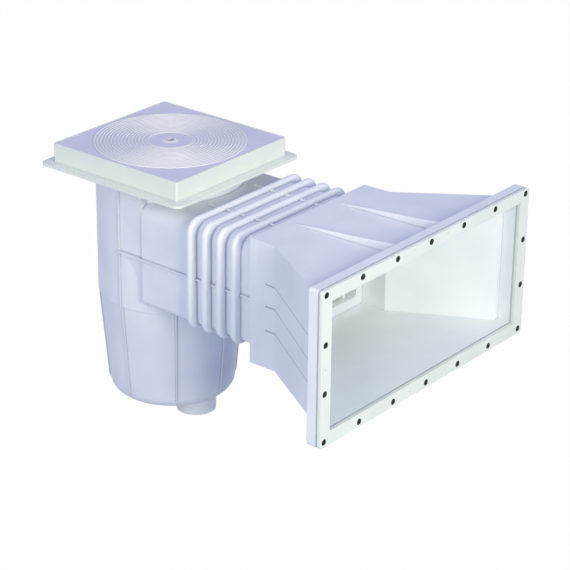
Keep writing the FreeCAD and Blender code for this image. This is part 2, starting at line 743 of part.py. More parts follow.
def hollow_funnel(body):
    before = body.Shape.Volume
    collar = new_sketch(body, "collar_hollow", "XZ", size.collar_front)
    rectangle(collar, size.flare_wall - half_collar, half_collar - size.flare_wall,
              collar_floor, collar_roof)
    pocket(body, collar, collar_inside - size.collar_front)
    back = flare_section(body, "flare_hollow_back", size.collar_front, half_collar - size.flare_wall,
                         collar_floor, collar_roof)
    front = flare_section(body, "flare_hollow_front", size.rim_depth,
                          size.flare_half - size.flare_wall, -size.mouth_bottom, size.mouth_top)
    loft(body, "PartDesign::SubtractiveLoft", back, front)
    rim = new_sketch(body, "rim_hollow", "XZ", flange_front)
    rectangle(rim, -half_mouth, half_mouth, -size.mouth_bottom, size.mouth_top)
    pocket(body, rim, size.rim_depth - flange_front)
    check_cut(body, before, "the funnel hollow")
    before = body.Shape.Volume
    socket = new_sketch(body, "throat_socket", "XZ", collar_inside - size.collar_back_wall)
    gap = size.socket_gap
    throat_shape(socket, half_throat + gap, -size.throat_bottom - gap, size.throat_top + gap,
                 size.throat_low_corner + gap, size.throat_corner + gap)
    pocket(body, socket, 3 * size.collar_back_wall)
    check_cut(body, before, "the throat socket")
    before = body.Shape.Volume
    holes = new_sketch(body, "insert_holes", "XZ", flange_front)
    screw_circles(holes, size.insert_diameter / 2 + size.screw_fit)
    pocket(body, holes, size.insert_length)
    check_cut(body, before, "the insert holes")


# Face: gaskets, clamp frame, screws and inserts

def make_gasket(name, front):
    body = new_body(name)
    sketch = new_sketch(body, f"{name}_ring", "XZ", front + size.gasket_thickness)
    face_ring(sketch, size.gasket_inset)
    screw_circles(sketch, size.screw_diameter / 2 + size.screw_hole_gap)
    pad(body, sketch, size.gasket_thickness)
    return body


def make_face_frame():
    body = new_body("face_frame")
    ring = new_sketch(body, "frame_ring", "XZ", size.frame_thickness)
    face_ring(ring)
    pad(body, ring, size.frame_thickness)
    doc.recompute()
    before = body.Shape.Volume
    places = new_sketch(body, "countersunk_holes", "XZ")
    screw_circles(places, size.screw_diameter / 2)
    holes = body.newObject("PartDesign::Hole", "countersinks")
    holes.Profile = places
    holes.Threaded = False
    holes.DepthType = "ThroughAll"
    holes.HoleCutType = "Countersink"
    holes.HoleCutCustomValues = True
    bind(holes, "Diameter", size.screw_diameter + 2 * size.screw_hole_gap)
    bind(holes, "HoleCutDiameter", size.screw_head_diameter + 2 * size.screw_fit)
    holes.HoleCutCountersinkAngle = 90
    check_cut(body, before, "the countersunk holes")
    before = body.Shape.Volume
    pips = new_sketch(body, "frame_pips", "XZ")
    reach_x = half_face - size.screw_edge_side
    reach_z = half_height - size.screw_edge_top
    half_pitch = reach_x / size.screw_gaps_across
    for x, z in ((-half_pitch, reach_z), (half_pitch, reach_z), (-half_pitch, -reach_z),
                 (half_pitch, -reach_z), (-reach_x, 0), (reach_x, 0)):
        circle(pips, x, z, size.pip_diameter / 2)
    pocket(body, pips, size.pip_depth)
    check_cut(body, before, "the pips")
    return body


def make_group(name, master, front):
    """One copy of the master for each screw place, as separate solids of one piece."""
    doc.recompute()
    copies = []
    for x, z in screw_places():
        move = FreeCAD.Vector(x.number, length(front).number, z.number)
        copies.append(master.Shape.translated(move))
    group = doc.addObject("Part::Feature", name)
    group.Label = name
    group.Shape = Part.makeCompound(copies)
    return group


def make_screw():
    """Countersunk slotted screw, turned about its own axis, which then points into the pool."""
    body = new_body("screw_master")
    sketch = new_sketch(body, "screw_profile", "XY")
    head, shank = size.screw_head_diameter / 2, size.screw_diameter / 2
    outline(sketch, [
        (0, 0), (head, 0), (shank, head - shank), (shank, size.screw_length), (0, size.screw_length),
    ])
    turned(body, "PartDesign::Revolution", sketch, "Y_Axis")
    doc.recompute()
    before = body.Shape.Volume
    slot = new_sketch(body, "screw_slot", "XZ")
    rectangle(slot, -size.screw_slot_width / 2, size.screw_slot_width / 2,
              -size.screw_head_diameter, size.screw_head_diameter)
    pocket(body, slot, size.screw_slot_depth)
    check_cut(body, before, "the screw slot")
    return body


def make_insert():
    """Brass insert: a plain tube here, its knurl hidden in the boss."""
    body = new_body("insert_master")
    sketch = new_sketch(body, "insert_ring", "XZ", size.insert_length)
    circle(sketch, 0, 0, size.insert_diameter / 2)
    circle(sketch, 0, 0, size.screw_diameter / 2 + size.screw_fit)
    pad(body, sketch, size.insert_length)
    return body


# Deck collar and lid

def centred_square(sketch, width, radius=None):
    half = length(width) / 2
    if radius is None:
        rectangle(sketch, -half, half, -half, half)
    else:
        rounded_rectangle(sketch, -half, half, -half, half, radius)


def make_deck_frame():
    """Square collar on a wider base plate, with a round ring that slides in the tank neck."""
    body = new_body("deck_frame", setback=size.tank_setback)
    base = new_sketch(body, "base_plate", "XY", tank_top)
    centred_square(base, size.base_width, size.base_corner)
    pad(body, base, size.base_thickness)
    block = new_sketch(body, "collar_block", "XY", deck_base)
    centred_square(block, size.deck_width, size.deck_corner)
    pad(body, block, size.deck_height)
    ring_outside = tank_inside - size.ring_gap
    ring = new_sketch(body, "neck_ring", "XY", tank_top - size.ring_depth)
    circle(ring, 0, 0, ring_outside)
    pad(body, ring, size.ring_depth)
    doc.recompute()
    before = body.Shape.Volume
    recess = new_sketch(body, "lid_recess", "XY", size.lid_level)
    recess_width = size.deck_width - 2 * size.deck_rim
    centred_square(recess, recess_width)
    pocket(body, recess, size.lid_thickness)
    well = new_sketch(body, "collar_well", "XY", size.lid_level - size.lid_thickness)
    centred_square(well, recess_width - 2 * size.seat_width)
    pocket(body, well, size.deck_height - size.lid_thickness)
    bore = new_sketch(body, "ring_bore", "XY", deck_base)
    circle(bore, 0, 0, ring_outside - size.ring_wall)
    pocket(body, bore, size.base_thickness + size.ring_depth)
    check_cut(body, before, "the collar well")
    return body


def make_deck_lid():
    """Square lid with a raised round field and a low cone round the finger hole."""
    body = new_body("deck_lid", setback=size.tank_setback, level=size.lid_level)
    width = size.deck_width - 2 * size.deck_rim - 2 * size.lid_gap
    plate = new_sketch(body, "lid_outline", "XY", -size.lid_thickness)
    centred_square(plate, width)
    pad(body, plate, size.lid_thickness - size.lid_field_height)
    field = new_sketch(body, "lid_field", "XY", -size.lid_plate)
    circle(field, 0, 0, size.lid_field_radius)
    pad(body, field, size.lid_plate)
    cone = new_sketch(body, "finger_cone", "XZ")
    cone_top = size.finger_rim_height
    outline(cone, [
        (0, -size.lid_plate), (size.finger_rim_radius, -size.lid_plate),
        (size.finger_rim_radius, 0), (size.finger_crest_radius, cone_top), (0, cone_top),
    ])
    turned(body, "PartDesign::Revolution", cone)
    doc.recompute()
    before = body.Shape.Volume
    hollow = new_sketch(body, "lid_underside", "XY", -size.lid_thickness)
    centred_square(hollow, width - 2 * size.lid_skirt)
    circle(hollow, 0, 0, size.lid_rib_ring)
    circle(hollow, 0, 0, size.lid_rib_ring - size.lid_skirt)
    pocket(body, hollow, size.lid_thickness - size.lid_plate, backwards=True)
    check_cut(body, before, "the lid underside")
    before = body.Shape.Volume
    finger = new_sketch(body, "finger_hole", "XY", cone_top)
    circle(finger, 0, 0, size.finger_radius)
    pocket(body, finger, size.lid_thickness + cone_top)
    check_cut(body, before, "the finger hole")
    return body


# Leaf basket and its bail

def make_basket():
    body = new_body("leaf_basket", setback=size.tank_setback, level=size.ledge_level)
    wall = size.basket_wall
    sketch = new_sketch(body, "basket_profile", "XZ")
    outline(sketch, [
        (0, -size.basket_depth), (size.basket_low_radius, -size.basket_depth),
        (size.basket_top_radius, 0), (basket_rim_radius, 0), (basket_rim_radius, size.basket_rim),
        (size.basket_top_radius - wall, size.basket_rim),
        (size.basket_low_radius - wall, wall - size.basket_depth), (0, wall - size.basket_depth),
    ])
    turned(body, "PartDesign::Revolution", sketch)
    bail_seats(body)
    before = body.Shape.Volume
    slots = new_sketch(body, "wall_slots", "YZ")
    for row in range(int(size.basket_rows.number)):
        top = -size.slot_first - row * size.slot_pitch
        rectangle(slots, -size.slot_width / 2, size.slot_width / 2, top - size.slot_height, top)
    cut = pocket(body, slots, basket_rim_radius, backwards=True)
    ring_pattern(body, cut, size.basket_slots)
    check_cut(body, before, "the wall slots")
    before = body.Shape.Volume
    floor = new_sketch(body, "floor_slot", "XY", -size.basket_depth)
    half = size.slot_width / 2
    rectangle(floor, size.floor_slot_inner, size.floor_slot_outer, -half, half)
    holes = pocket(body, floor, 2 * wall, backwards=True)
    ring_pattern(body, holes, size.floor_slots)
    check_cut(body, before, "the floor slots")
    return body


def bail_seats(body):
    """Ears that thicken the wall at the bail ends, with their holes, and stops for the lowered bail."""
    axis = size.basket_rim - size.bail_drop
    ear = size.bail_rod
    inner = size.bail_radius + size.bail_rod
    ears = new_sketch(body, "bail_ears", "YZ", -size.basket_top_radius + size.basket_wall / 2)
    rectangle(ears, -ear, ear, axis - ear, axis + ear)
    pad(body, ears, size.basket_top_radius - size.basket_wall / 2 - inner)
    more_ears = new_sketch(body, "more_bail_ears", "YZ", size.basket_top_radius - size.basket_wall / 2)
    rectangle(more_ears, -ear, ear, axis - ear, axis + ear)
    pad(body, more_ears, size.basket_top_radius - size.basket_wall / 2 - inner, backwards=True)
    stops = new_sketch(body, "bail_stops", "XY", axis - size.bail_rod / 2 - size.basket_rim)
    near, far = size.bail_radius - size.bail_rod / 2, size.basket_top_radius - size.basket_wall
    low, high = size.bail_hub_radius + size.basket_rim, size.bail_hub_radius + size.basket_rim + ear
    for left, right in ((-far, -near), (near, far)):
        for front, back in ((-high, -low), (low, high)):
            rectangle(stops, left, right, front, back)
    pad(body, stops, size.basket_rim - size.trimmer_gap)
    doc.recompute()
    before = body.Shape.Volume
    holes = new_sketch(body, "bail_holes", "YZ", -size.basket_top_radius)
    circle(holes, 0, axis, size.bail_rod / 2 + size.running_fit)
    pocket(body, holes, 2 * size.basket_top_radius, backwards=True)
    check_cut(body, before, "the bail holes")


def make_handle():
    """Half-round bail, folded down level, with its ends bent out into the basket's ears."""
    name = "basket_handle"
    level = size.ledge_level + size.basket_rim - size.bail_drop
    bow = doc.addObject("Part::Torus", "bail_bow")
    bind(bow, "Radius1", size.bail_radius)
    bind(bow, "Radius2", size.bail_rod / 2)
    bow.Angle3 = 180
    bind(bow, "Placement.Base.y", size.tank_setback)
    bind(bow, "Placement.Base.z", level)
    pieces = [bow]
    for side, label in ((-1, "left"), (1, "right")):
        hub_start = size.bail_radius - size.bail_hub_width / 2
        for kind, radius, start, reach in (
                ("hub", size.bail_hub_radius, hub_start, size.bail_hub_width),
                ("end", size.bail_rod / 2, size.bail_radius, size.basket_top_radius - size.bail_radius)):
            item = doc.addObject("Part::Cylinder", f"bail_{kind}_{label}")
            bind(item, "Radius", radius)
            bind(item, "Height", reach)
            item.Placement.Rotation = FreeCAD.Rotation(FreeCAD.Vector(0, 1, 0), 90 * side)
            bind(item, "Placement.Base.x", side * start)
            bind(item, "Placement.Base.y", size.tank_setback)
            bind(item, "Placement.Base.z", level)
            pieces.append(item)
    grip = doc.addObject("Part::Box", "bail_grip")
    bind(grip, "Length", size.bail_grip)
    bind(grip, "Width", size.bail_grip_width)
    bind(grip, "Height", size.bail_grip_height)
    bind(grip, "Placement.Base.x", -size.bail_grip / 2)
    grip_back = size.bail_radius + size.bail_rod / 2
    bind(grip, "Placement.Base.y", size.tank_setback + grip_back - size.bail_grip_width)
    bind(grip, "Placement.Base.z", level - size.bail_grip_height / 2)
    pieces.append(grip)
    handle = doc.addObject("Part::MultiFuse", name)
    handle.Label = name
    handle.Shapes = pieces
    return handle


# Weir flap, hinged on two pins at the throat floor; at rest it lies back on the floor

def make_weir_flap():
    body = new_body("weir_flap", setback=size.weir_axis_behind, level=weir_axis)
    inner = size.weir_lug_place - size.weir_side_gap
    barrel = new_sketch(body, "weir_barrel_round", "YZ", -inner)
    circle(barrel, 0, 0, size.weir_barrel / 2)
    pad(body, barrel, 2 * inner)
    half = size.weir_width / 2
    plate = new_sketch(body, "weir_plate_outline", "XY", -size.weir_plate / 2)
    outline(plate, [
        (-inner, 0), (inner, 0), (inner, size.weir_shoulder), (half, size.weir_shoulder),
        (half, size.weir_length), (-half, size.weir_length), (-half, size.weir_shoulder),
        (-inner, size.weir_shoulder),
    ])
    pad(body, plate, size.weir_plate)
    box_half = size.weir_box_width / 2
    box_start = size.weir_length - size.weir_box_length
    box = new_sketch(body, "float_chamber", "XY", -size.weir_box_height / 2)
    rectangle(box, -box_half, box_half, box_start, size.weir_length)
    pad(body, box, size.weir_box_height - size.weir_box_wall)
    ribs = new_sketch(body, "weir_ribs", "XY", -size.weir_barrel / 2 + size.weir_box_wall)
    for place in (-0.8, -0.4, 0, 0.4, 0.8):
        left = place * box_half - size.weir_box_wall / 2
        rectangle(ribs, left, left + size.weir_box_wall, 0, box_start + size.weir_box_wall / 2)
    pad(body, ribs, size.weir_barrel - 2 * size.weir_box_wall)
    doc.recompute()
    before = body.Shape.Volume
    wall = size.weir_box_wall
    hollow = new_sketch(body, "float_pocket", "XY", size.weir_box_height / 2 - wall)
    rectangle(hollow, wall - box_half, box_half - wall, box_start + wall, size.weir_length - wall)
    pocket(body, hollow, size.weir_box_height - 2 * wall)
    check_cut(body, before, "the float chamber")
    before = body.Shape.Volume
    for side, label in ((-1, "left"), (1, "right")):
        bore = new_sketch(body, f"weir_bore_{label}", "YZ", side * inner)
        circle(bore, 0, 0, size.weir_pin_diameter / 2 + size.running_fit)
        pocket(body, bore, size.weir_pin_depth, backwards=side < 0)
    check_cut(body, before, "the barrel bores")
    return body


def make_weir_box_piece(name, gap, bottom, height):
    """The foam float and the cap share the plan of the float chamber."""
    body = new_body(name, setback=size.weir_axis_behind, level=weir_axis)
    half = size.weir_box_width / 2 - gap
    sketch = new_sketch(body, f"{name}_plan", "XY", bottom)
    rectangle(sketch, -half, half, size.weir_length - size.weir_box_length + gap, size.weir_length - gap)
    pad(body, sketch, height)
    return body


def make_weir_pins():
    """Two headed pins, pushed through the lugs into the barrel of the flap."""
    outer = size.weir_lug_place + size.weir_lug_width
    pins = []
    for side, label in ((-1, "left"), (1, "right")):
        shank = doc.addObject("Part::Cylinder", f"pin_shank_{label}")
        bind(shank, "Radius", size.weir_pin_diameter / 2)
        bind(shank, "Height", size.weir_lug_width + size.weir_pin_depth)
        head = doc.addObject("Part::Cylinder", f"pin_head_{label}")
        bind(head, "Radius", size.weir_pin_head / 2)
        bind(head, "Height", size.weir_box_wall)
        for item, start in ((shank, size.weir_lug_place - size.weir_pin_depth), (head, outer)):
            item.Placement.Rotation = FreeCAD.Rotation(FreeCAD.Vector(0, 1, 0), 90 * side)
            bind(item, "Placement.Base.x", side * start)
            bind(item, "Placement.Base.y", size.weir_axis_behind)
            bind(item, "Placement.Base.z", weir_axis)
        pin = doc.addObject("Part::Fuse", f"pin_{label}")
        pin.Base = shank
        pin.Tool = head
        pins.append(pin)
    group = doc.addObject("Part::Compound", "weir_pins")
    group.Label = "weir_pins"
    group.Links = pins
    return group


# Flow trimmer on the tank floor

def make_trimmer():
    """Half-round plate that turns about the floor boss and covers the port below it."""
    body = new_body("flow_trimmer", setback=size.tank_setback, level=bucket_floor + size.trimmer_gap)
    disc = new_sketch(body, "trimmer_disc", "XY")
    circle(disc, 0, 0, size.trimmer_radius)
    pad(body, disc, size.trimmer_plate)
    doc.recompute()
    before = body.Shape.Volume
    half = new_sketch(body, "trimmer_open_half", "XY")
    reach = size.trimmer_radius + size.trimmer_plate
    rectangle(half, -reach, reach, -reach, 0)
    pocket(body, half, size.trimmer_plate, backwards=True)
    check_cut(body, before, "the open half of the trimmer")
    hub = new_sketch(body, "trimmer_hub_disc", "XY")
    circle(hub, 0, 0, size.trimmer_hub)
    pad(body, hub, size.trimmer_plate)
    tab = new_sketch(body, "trimmer_tab", "XY")
    half_tab = size.trimmer_tab_width / 2
    rectangle(tab, -half_tab, half_tab, size.trimmer_hub, size.trimmer_hub + size.trimmer_tab_length)
    pad(body, tab, size.trimmer_plate + size.trimmer_tab_height)
    doc.recompute()
    before = body.Shape.Volume
    bore = new_sketch(body, "trimmer_bore", "XY")
    circle(bore, 0, 0, size.trimmer_boss + size.running_fit)
    pocket(body, bore, size.trimmer_plate, backwards=True)
    check_cut(body, before, "the trimmer bore")
    return body


def make_washer():
    body = new_body("trimmer_washer", setback=size.tank_setback, level=boss_top)
    sketch = new_sketch(body, "washer_ring", "XY")
    circle(sketch, 0, 0, size.washer_radius)
    circle(sketch, 0, 0, size.trimmer_screw_diameter / 2 + size.screw_fit)
    pad(body, sketch, size.washer_thickness)
    return body


def make_trimmer_screw():
    body = new_body("trimmer_screw", setback=size.tank_setback, level=boss_top + size.washer_thickness)
    sketch = new_sketch(body, "trimmer_screw_profile", "XZ")
    shank = size.trimmer_screw_diameter / 2
    outline(sketch, [
        (0, -size.trimmer_screw_length), (shank, -size.trimmer_screw_length), (shank, 0),
        (size.trimmer_head_radius, 0), (size.trimmer_head_radius, size.trimmer_head_height),
        (0, size.trimmer_head_height),
    ])
    turned(body, "PartDesign::Revolution", sketch)
    doc.recompute()
    before = body.Shape.Volume
    slot = new_sketch(body, "trimmer_screw_slot", "XY", size.trimmer_head_height)
    half = size.screw_slot_width / 2
    rectangle(slot, -half, half, -2 * size.trimmer_head_radius, 2 * size.trimmer_head_radius)
    pocket(body, slot, size.screw_slot_depth)
    check_cut(body, before, "the trimmer screw slot")
    return body


# Plug of the rear port

def make_port_plug():
    """Hollow plug with a round head, a ring groove and a square socket for a key."""
    rear = size.tank_setback + size.port_offset
    body = new_body("port_plug", setback=rear, level=port_bottom)
    sketch = new_sketch(body, "plug_profile", "XZ")
    head = size.port_radius - size.plug_head_inset
    thread = port_bore - size.plug_gap
    outline(sketch, [
        (0, -size.plug_head_thickness), (head, -size.plug_head_thickness), (head, 0), (thread, 0),
        (thread, size.plug_depth), (thread - size.plug_wall, size.plug_depth),
        (thread - size.plug_wall, 2 * size.plug_wall), (0, 2 * size.plug_wall),
    ])
    turned(body, "PartDesign::Revolution", sketch)
    doc.recompute()
    before = body.Shape.Volume
    groove = new_sketch(body, "plug_ring_groove", "XZ")
    level = size.plug_depth / 2
    gap = size.screw_fit
    rectangle(groove, port_bore - size.o_ring_width - 2 * gap, port_bore + gap, level - gap,
              level + size.o_ring_height + gap)
    turned(body, "PartDesign::Groove", groove)
    check_cut(body, before, "the ring groove")
    before = body.Shape.Volume
    socket = new_sketch(body, "plug_key_socket", "XY", -size.plug_head_thickness)
    centred_square(socket, size.plug_socket)
    pocket(body, socket, size.plug_head_thickness + size.plug_wall, backwards=True)
    check_cut(body, before, "the key socket")
    return body


def make_o_ring():
    rear = size.tank_setback + size.port_offset
    body = new_body("plug_o_ring", setback=rear, level=port_bottom + size.plug_depth / 2)
    sketch = new_sketch(body, "o_ring_band", "XY")
    circle(sketch, 0, 0, port_bore - size.screw_fit)
    circle(sketch, 0, 0, port_bore - size.screw_fit - size.o_ring_width)
    pad(body, sketch, size.o_ring_height)
    return body


# All pieces of the skimmer

box_top = size.weir_box_height / 2
wall = size.weir_box_wall
foam_bottom = wall + size.foam_gap - box_top
foam_height = size.weir_box_height - 2 * wall - 2 * size.foam_gap
PIECES = [
    make_skimmer_body(),
    make_mouth_funnel(),
    make_gasket("rear_gasket", rear_gasket_front),
    make_gasket("front_gasket", front_gasket_front),
    make_face_frame(),
    make_group("face_screws", make_screw(), 0),
    make_group("flange_inserts", make_insert(), flange_front),
    make_deck_frame(),
    make_deck_lid(),
    make_basket(),
    make_handle(),
    make_weir_flap(),
    make_weir_box_piece("weir_float", wall + size.foam_gap, foam_bottom, foam_height),
    make_weir_box_piece("weir_float_cap", 0, box_top - wall, wall),
    make_weir_pins(),
    make_trimmer(),
    make_washer(),
    make_trimmer_screw(),
    make_port_plug(),
    make_o_ring(),
]
doc.recompute()

for item in doc.Objects:
    bad = [state for state in item.State if state in ("Invalid", "Error")]
    if bad:
        raise RuntimeError(f"{item.Name} is {bad}")

os.makedirs("parts", exist_ok=True)
for item in PIECES:
    if item.Shape.isNull() or not item.Shape.isValid() or not item.Shape.Solids:
        raise RuntimeError(f"{item.Label} has no sound shape")
    item.Shape.exportStep(f"parts/{item.Label}.step")
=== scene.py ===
import bpy
from mathutils import Matrix, Vector


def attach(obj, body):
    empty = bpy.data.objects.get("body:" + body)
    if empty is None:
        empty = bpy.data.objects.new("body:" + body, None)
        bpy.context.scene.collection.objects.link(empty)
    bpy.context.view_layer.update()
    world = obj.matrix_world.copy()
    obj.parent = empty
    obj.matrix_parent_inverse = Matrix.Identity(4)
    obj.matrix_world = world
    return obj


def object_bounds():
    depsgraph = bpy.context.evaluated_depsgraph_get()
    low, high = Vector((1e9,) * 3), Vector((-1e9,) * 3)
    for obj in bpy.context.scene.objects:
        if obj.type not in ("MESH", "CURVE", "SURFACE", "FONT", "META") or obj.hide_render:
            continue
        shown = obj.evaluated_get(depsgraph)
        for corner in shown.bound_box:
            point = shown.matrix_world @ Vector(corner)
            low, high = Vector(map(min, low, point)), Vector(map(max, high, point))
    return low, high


# White in-ground pool skimmer. Metres, in the part's own frame: the mouth looks along -Y and Z is up.

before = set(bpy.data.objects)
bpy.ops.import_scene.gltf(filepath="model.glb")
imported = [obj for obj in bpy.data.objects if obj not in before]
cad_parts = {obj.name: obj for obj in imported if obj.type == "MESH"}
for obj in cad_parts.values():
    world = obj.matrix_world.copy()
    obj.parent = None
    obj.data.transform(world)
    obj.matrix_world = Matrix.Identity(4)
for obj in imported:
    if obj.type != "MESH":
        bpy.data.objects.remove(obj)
cad_low, cad_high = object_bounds()
scene = bpy.context.scene
MM = 0.001


# Materials

def linear(hex_colour):
    """The linear colour that a shader takes, from sRGB hex."""
    channels = [int(hex_colour[place:place + 2], 16) / 255 for place in (0, 2, 4)]
    return (*[c / 12.92 if c <= 0.04045 else ((c + 0.055) / 1.055) ** 2.4 for c in channels], 1.0)


def add(tree, kind, settings=None, links=None):
    """Adds a node, gives it its settings by property or socket, and links sockets of other nodes into it."""
    item = tree.nodes.new(kind)
    for name, value in (settings or {}).items():
        if isinstance(name, str) and hasattr(item, name):
            setattr(item, name, value)
        else:
            item.inputs[name].default_value = value
    for name, source in (links or {}).items():
        tree.links.new(source, item.inputs[name])
    return item


def start_material(name):
    """A material emptied of its nodes, with the object coordinates that its patterns are laid out on."""
    material = bpy.data.materials.new(name)
    material.use_nodes = True
    material.node_tree.nodes.clear()
    place = add(material.node_tree, "ShaderNodeTexCoord").outputs["Object"]
    return material, material.node_tree, place


def finish_material(tree, shader):
    add(tree, "ShaderNodeOutputMaterial", links={"Surface": shader.outputs["BSDF"]})


# The lap lines on the sides of the funnel: their heights at the collar and at the rim.
LAP_LINES = [(35 * MM, 27 * MM), (0.5 * MM, -13 * MM), (-38 * MM, -50 * MM)]
# Where they start on the collar, bend at its front and end at the rim, and how far out the collar's side is.
LAP_BACK = 190 * MM
COLLAR_FRONT = 172 * MM
RIM_BACK = 28 * MM
COLLAR_SIDE = 132 * MM
# Half the width of a painted shadow line, and of its darkest part.
SHADE_REACH = 1.8 * MM
SHADE_CORE = 0.4 * MM


def lap_shade(tree, place):
    """How much painted shadow lies along the lap lines, under each lap's step, on the outside of the funnel's
    sides only.
    """
    axes = add(tree, "ShaderNodeSeparateXYZ", links={"Vector": place})
    aside = add(tree, "ShaderNodeMath", {"operation": "ABSOLUTE"}, {0: axes.outputs["X"]})
    side = add(tree, "ShaderNodeMath", {"operation": "GREATER_THAN", 1: COLLAR_SIDE},
               {0: aside.outputs["Value"]})
    for test, limit in (("LESS_THAN", LAP_BACK), ("GREATER_THAN", RIM_BACK)):
        within = add(tree, "ShaderNodeMath", {"operation": test, 1: limit}, {0: axes.outputs["Y"]})
        side = add(tree, "ShaderNodeMath", {"operation": "MULTIPLY"},
                   {0: side.outputs["Value"], 1: within.outputs["Value"]})
    shaded = None
    for at_collar, at_rim in LAP_LINES:
        line = add(tree, "ShaderNodeMapRange", {"From Min": COLLAR_FRONT, "From Max": RIM_BACK,
                                                "To Min": at_collar, "To Max": at_rim},
                   {"Value": axes.outputs["Y"]})
        above = add(tree, "ShaderNodeMath", {"operation": "SUBTRACT"},
                    {0: axes.outputs["Z"], 1: line.outputs["Result"]})
        away = add(tree, "ShaderNodeMath", {"operation": "ABSOLUTE"}, {0: above.outputs["Value"]})
        shade_amount = add(tree, "ShaderNodeMapRange", {"From Min": SHADE_REACH, "From Max": SHADE_CORE, "To Max": 0.9},
                   {"Value": away.outputs["Value"]})
        if shaded is None:
            shaded = shade_amount.outputs["Result"]
        else:
            more = add(tree, "ShaderNodeMath", {"operation": "MAXIMUM"},
                       {0: shaded, 1: shade_amount.outputs["Result"]})
            shaded = more.outputs["Value"]
    on_side = add(tree, "ShaderNodeMath", {"operation": "MULTIPLY"}, {0: shaded, 1: side.outputs["Value"]})
    return on_side.outputs["Value"]


# How large the marks on a moulding are: drifts of pigment, places that hands wore, sink waves, and the reach
# of the painted shade in creases.
DRIFT = 90 * MM
HANDLED = 35 * MM
SINK = 48 * MM
CREASE = 5 * MM


def moulded_plastic(name, colour, shade, roughness, ior, grain_mm, edge_mm, grain_depth_mm=0.02,
                    wear_and_highlight_colour="F8FBFA", crease_shade_colour="C6CED8", laps=False):
    """Injection-moulded thermoplastic. The tool's spark-eroded skin leaves a fine matt grain, thick places
    sink a little so that highlights swim, and the pigment drifts slightly. The edges are mixed paler, partly
    as rubbed wear and partly as a painted highlight, and the creases are darkened as painted shade."""
    material, tree, place = start_material(name)
    drift = add(tree, "ShaderNodeTexNoise", {"Scale": 1 / DRIFT, "Detail": 3.0}, {"Vector": place})
    tone = add(tree, "ShaderNodeValToRGB", links={"Fac": drift.outputs["Fac"]})
    tone.color_ramp.elements[0].position = 0.3
    tone.color_ramp.elements[0].color = linear(shade)
    tone.color_ramp.elements[1].position = 0.62
    tone.color_ramp.elements[1].color = linear(colour)
    handled = add(tree, "ShaderNodeTexNoise", {"Scale": 1 / HANDLED, "Detail": 4.0}, {"Vector": place})
    gloss = add(tree, "ShaderNodeMapRange", {"To Min": roughness - 0.05, "To Max": roughness + 0.08},
                {"Value": handled.outputs["Fac"]})
    sink = add(tree, "ShaderNodeTexNoise", {"Scale": 1 / SINK, "Detail": 1.0}, {"Vector": place})
    grain = add(tree, "ShaderNodeTexNoise", {"Scale": 1 / (grain_mm * MM), "Detail": 2.0}, {"Vector": place})
    # Edges mixed towards a paler colour: partly rubbed wear, partly a painted highlight.
    edge = add(tree, "ShaderNodeBevel", {"samples": 6, "Radius": edge_mm * MM})
    facing = add(tree, "ShaderNodeNewGeometry").outputs["Normal"]
    bend = add(tree, "ShaderNodeVectorMath", {"operation": "DOT_PRODUCT"},
               {0: edge.outputs["Normal"], 1: facing})
    wear_and_highlight = add(tree, "ShaderNodeMapRange", {"From Min": 0.985, "From Max": 0.9, "To Max": 0.75},
               {"Value": bend.outputs["Value"]})
    worn_and_highlit = add(tree, "ShaderNodeMixRGB", {"Color2": linear(wear_and_highlight_colour)},
               {"Fac": wear_and_highlight.outputs["Result"], "Color1": tone.outputs["Color"]})
    # Painted shade: ambient occlusion darkens the creases and corners towards the crease shade colour.
    corner = add(tree, "ShaderNodeAmbientOcclusion", {"samples": 12, "Distance": CREASE})
    shade_amount = add(tree, "ShaderNodeMapRange", {"From Min": 0.88, "From Max": 0.5, "To Max": 0.55},
               {"Value": corner.outputs["AO"]})
    shaded = add(tree, "ShaderNodeMixRGB", {"Color2": linear(crease_shade_colour)},
                {"Fac": shade_amount.outputs["Result"], "Color1": worn_and_highlit.outputs["Color"]})
    # Painted shadow lines under the funnel's lap steps.
    if laps:
        shaded = add(tree, "ShaderNodeMixRGB", {"Color2": linear(crease_shade_colour)},
                    {"Fac": lap_shade(tree, place), "Color1": shaded.outputs["Color"]})
    waves = add(tree, "ShaderNodeBump", {"Strength": 0.35, "Distance": 0.5 * MM},
                {"Height": sink.outputs["Fac"], "Normal": edge.outputs["Normal"]})
    skin = add(tree, "ShaderNodeBump", {"Strength": 0.5, "Distance": grain_depth_mm * MM},
               {"Height": grain.outputs["Fac"], "Normal": waves.outputs["Normal"]})
    shader = add(tree, "ShaderNodeBsdfPrincipled", {"IOR": ior},
                 {"Base Color": shaded.outputs["Color"], "Roughness": gloss.outputs["Result"],
                  "Normal": skin.outputs["Normal"]})
    finish_material(tree, shader)
    return material


def turned_metal(name, colour, dark, roughness, line_mm):
    """Bare metal from a lathe or a rolling die: fine lines round the axis, and dull film in patches."""
    material, tree, place = start_material(name)
    film = add(tree, "ShaderNodeTexNoise", {"Scale": 1 / (6 * MM), "Detail": 5.0}, {"Vector": place})
    tone = add(tree, "ShaderNodeValToRGB", links={"Fac": film.outputs["Fac"]})
    tone.color_ramp.elements[0].position = 0.35
    tone.color_ramp.elements[0].color = linear(dark)
    tone.color_ramp.elements[1].position = 0.7
    tone.color_ramp.elements[1].color = linear(colour)
    dull = add(tree, "ShaderNodeMapRange", {"To Min": roughness - 0.08, "To Max": roughness + 0.12},
               {"Value": film.outputs["Fac"]})
    lines = add(tree, "ShaderNodeTexNoise", {"Scale": 1 / (line_mm * MM), "Detail": 1.0}, {"Vector": place})
    scratch = add(tree, "ShaderNodeBump", {"Strength": 0.3, "Distance": 0.02 * MM},
                  {"Height": lines.outputs["Fac"]})
    shader = add(tree, "ShaderNodeBsdfPrincipled", {"Metallic": 1.0},
                 {"Base Color": tone.outputs["Color"], "Roughness": dull.outputs["Result"],
                  "Normal": scratch.outputs["Normal"]})
    finish_material(tree, shader)
    return material


